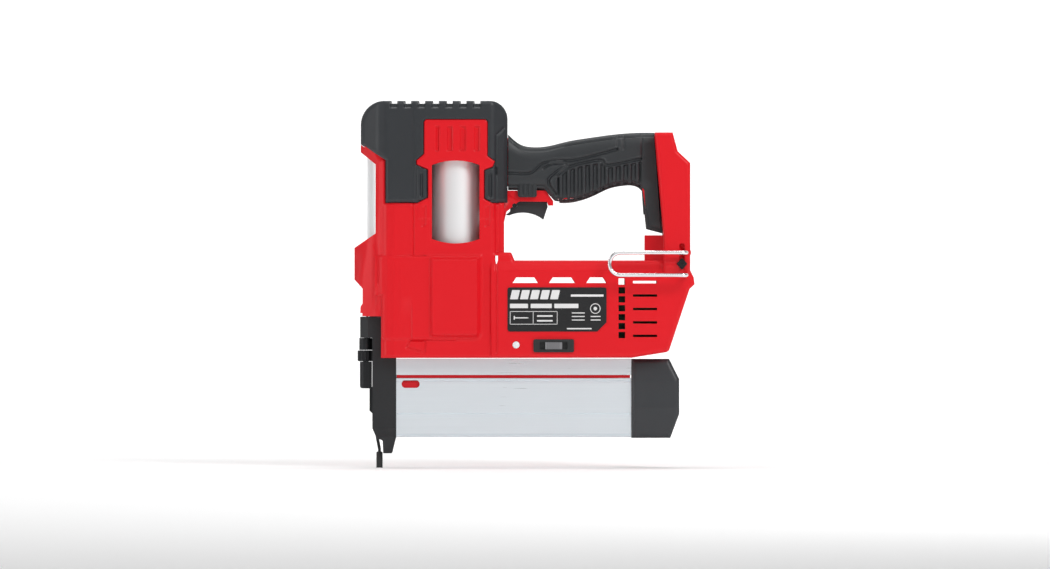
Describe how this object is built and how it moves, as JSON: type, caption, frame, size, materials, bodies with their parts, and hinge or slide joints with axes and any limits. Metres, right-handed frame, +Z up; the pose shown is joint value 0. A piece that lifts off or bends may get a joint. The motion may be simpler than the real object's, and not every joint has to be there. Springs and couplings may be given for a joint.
{
  "type": "cordless brad nailer",
  "caption": "Cordless brad nailer with a crank driven air compressor beside the drive cylinder, a side sliding magazine, a closed handle, a belt hook and a battery dock.",
  "frame": {"origin": "centre of the contact tip's flat bottom face, where the tool meets the work, with the contact arm extended", "axes": "+Z runs up along the driver, +X towards the battery dock, +Y towards the side without the belt hook; y = 0 is the joint between the housing halves"},
  "size_m": [0.2826, 0.0852, 0.305],
  "materials": {
    "red_housing": "moulded, satin gloss",
    "black_cover": "moulded, fine matt texture",
    "grip_rubber": "soft ribbed overmould",
    "bright_cylinder": "turned, bright",
    "cast_alloy": "die cast, satin",
    "machined_piston": "machined",
    "hard_steel": "ground steel",
    "seal_rubber": "black nitrile",
    "bumper_rubber": "dense rubber",
    "gear_steel": "sintered steel",
    "motor_steel": "zinc plated can",
    "inner_plastic": "moulded",
    "valve_body": "moulded coil cover",
    "nose_black": "black coated casting",
    "nose_plate": "black coated steel plate",
    "dark_steel": "black oxide steel",
    "zinc_screws": "zinc plated",
    "tip_rubber": "soft black tip",
    "magazine_alloy": "anodised extrusion",
    "end_cap_black": "moulded, fine matt texture",
    "pusher_red": "moulded",
    "spring_steel": "spring wire",
    "trigger_black": "moulded",
    "bezel_black": "moulded",
    "slider_grey": "moulded",
    "lens_clear": "frosted lens",
    "plate_black": "printed film",
    "board_green": "circuit board",
    "contact_brass": "plated contact blades",
    "hook_steel": "zinc plated wire",
    "clamp_steel": "black plate"
  },
  "bodies": {
    "tool": {"housing_left": "red_housing", "housing_right": "red_housing", "top_cover": "black_cover", "grip_left": "grip_rubber", "grip_right": "grip_rubber", "drive_cylinder": "bright_cylinder", "compressor_cylinder": "bright_cylinder", "cylinder_head": "cast_alloy", "trigger_pin": "hard_steel", "ball_bearings": "hard_steel", "bumper": "bumper_rubber", "ring_gear": "gear_steel", "motor_can": "motor_steel", "trigger_switch": "inner_plastic", "terminal_block": "inner_plastic", "battery_dock": "inner_plastic", "magazine_liner": "inner_plastic", "air_valve": "valve_body", "nose_body": "nose_black", "nose_cover": "nose_plate", "nose_screws": "zinc_screws", "housing_screws": "zinc_screws", "magazine_rail": "magazine_alloy", "contact_spring": "spring_steel", "trigger_spring": "spring_steel", "mode_bezel": "bezel_black", "indicator_lens": "lens_clear", "rating_plate": "plate_black", "control_board": "board_green", "battery_terminals": "contact_brass", "belt_hook": "hook_steel", "belt_hook_screw": "hook_steel", "belt_hook_clamp": "clamp_steel"},
    "drive_ram": {"drive_piston": "machined_piston", "driver_blade": "hard_steel", "drive_seal": "seal_rubber"},
    "crank": {"planet_carrier": "cast_alloy", "crank_wheel": "cast_alloy"},
    "rotor": {"motor_rotor": "motor_steel", "sun_gear": "gear_steel", "cooling_fan": "inner_plastic"},
    "planet_1": {"planet_gear_1": "gear_steel"},
    "planet_2": {"planet_gear_2": "gear_steel"},
    "planet_3": {"planet_gear_3": "gear_steel"},
    "air_piston": {"compressor_piston": "machined_piston", "wrist_pin": "hard_steel", "compressor_seal": "seal_rubber"},
    "swing_rod": {"connecting_rod": "machined_piston"},
    "trigger_lever": {"trigger": "trigger_black"},
    "plunger": {"switch_plunger": "inner_plastic"},
    "mode_knob": {"mode_slider": "slider_grey"},
    "contact_arm": {"contact_carriage": "dark_steel"},
    "wheel": {"depth_wheel": "dark_steel"},
    "foot": {"contact_foot": "dark_steel", "contact_tip": "tip_rubber"},
    "magazine": {"magazine_channel": "magazine_alloy", "magazine_end_cap": "end_cap_black"},
    "latch": {"magazine_latch": "end_cap_black"},
    "follower": {"pusher": "pusher_red", "pusher_spring": "spring_steel"}
  },
  "joints": [
    {"name": "trigger_pull", "type": "hinge", "parent": "tool", "child": "trigger_lever", "pos_m": [0.1125, 0, 0.218], "axis": [0, -1, 0], "range_deg": [0, 8], "stiffness_Nm_per_rad": 0.6, "springref_deg": -11.46, "deforming": ["trigger_spring"]},
    {"name": "plunger_lift", "type": "slide", "parent": "tool", "child": "plunger", "axis": [0, 0, 1], "range_m": [0, 0.0018]},
    {"name": "mode_slide", "type": "slide", "parent": "tool", "child": "mode_knob", "axis": [1, 0, 0], "range_m": [-0.0042, 0.0042]},
    {"name": "contact_press", "type": "slide", "parent": "tool", "child": "contact_arm", "axis": [0, 0, 1], "range_m": [0, 0.01], "stiffness_N_per_m": 800, "springref_m": -0.015, "deforming": ["contact_spring"]},
    {"name": "depth_turn", "type": "hinge", "parent": "contact_arm", "child": "wheel", "pos_m": [-0.0114, 0, 0.093], "axis": [0, 0, 1], "range_deg": [0, 1080]},
    {"name": "foot_drop", "type": "slide", "parent": "contact_arm", "child": "foot", "axis": [0, 0, -1], "range_m": [0, 0.00301]},
    {"name": "drive_stroke", "type": "slide", "parent": "tool", "child": "drive_ram", "axis": [0, 0, -1], "range_m": [0, 0.0615]},
    {"name": "crank_spin", "type": "hinge", "parent": "tool", "child": "crank", "pos_m": [0.08, 0, 0.132], "axis": [1, 0, 0], "continuous": true},
    {"name": "rotor_spin", "type": "hinge", "parent": "tool", "child": "rotor", "pos_m": [0.13, 0, 0.132], "axis": [1, 0, 0], "continuous": true},
    {"name": "planet_spin_1", "type": "hinge", "parent": "crank", "child": "planet_1", "pos_m": [0.0888, 0.0135, 0.132], "axis": [1, 0, 0], "continuous": true},
    {"name": "planet_spin_2", "type": "hinge", "parent": "crank", "child": "planet_2", "pos_m": [0.0888, -0.00675, 0.14369], "axis": [1, 0, 0], "continuous": true},
    {"name": "planet_spin_3", "type": "hinge", "parent": "crank", "child": "planet_3", "pos_m": [0.0888, -0.00675, 0.12031], "axis": [1, 0, 0], "continuous": true},
    {"name": "air_stroke", "type": "slide", "parent": "tool", "child": "air_piston", "axis": [0, 0, 1], "range_m": [0, 0.04]},
    {"name": "rod_swing", "type": "hinge", "parent": "air_piston", "child": "swing_rod", "pos_m": [0.0637, 0, 0.192], "axis": [1, 0, 0], "range_deg": [-14, 14]},
    {"name": "magazine_slide", "type": "slide", "parent": "tool", "child": "magazine", "axis": [1, 0, 0], "range_m": [0, 0.12]},
    {"name": "latch_squeeze", "type": "hinge", "parent": "magazine", "child": "latch", "pos_m": [0.2434, 0, 0.0674], "axis": [0, 1, 0], "range_deg": [0, 8], "stiffness_Nm_per_rad": 0.4, "springref_deg": -11.46},
    {"name": "pusher_slide", "type": "slide", "parent": "magazine", "child": "follower", "axis": [1, 0, 0], "range_m": [0, 0.13], "stiffness_N_per_m": 20, "springref_m": -0.2}
  ],
  "couplings": [
    {"joint": "plunger_lift", "follows": "trigger_pull", "m_per_rad": 0.0105},
    {"joint": "foot_drop", "follows": "depth_turn", "m_per_rad": 0.00015915},
    {"joint": "rotor_spin", "follows": "crank_spin", "ratio": 4.5},
    {"joint": "planet_spin_1", "follows": "crank_spin", "ratio": -2.8},
    {"joint": "planet_spin_2", "follows": "crank_spin", "ratio": -2.8},
    {"joint": "planet_spin_3", "follows": "crank_spin", "ratio": -2.8}
  ]
}
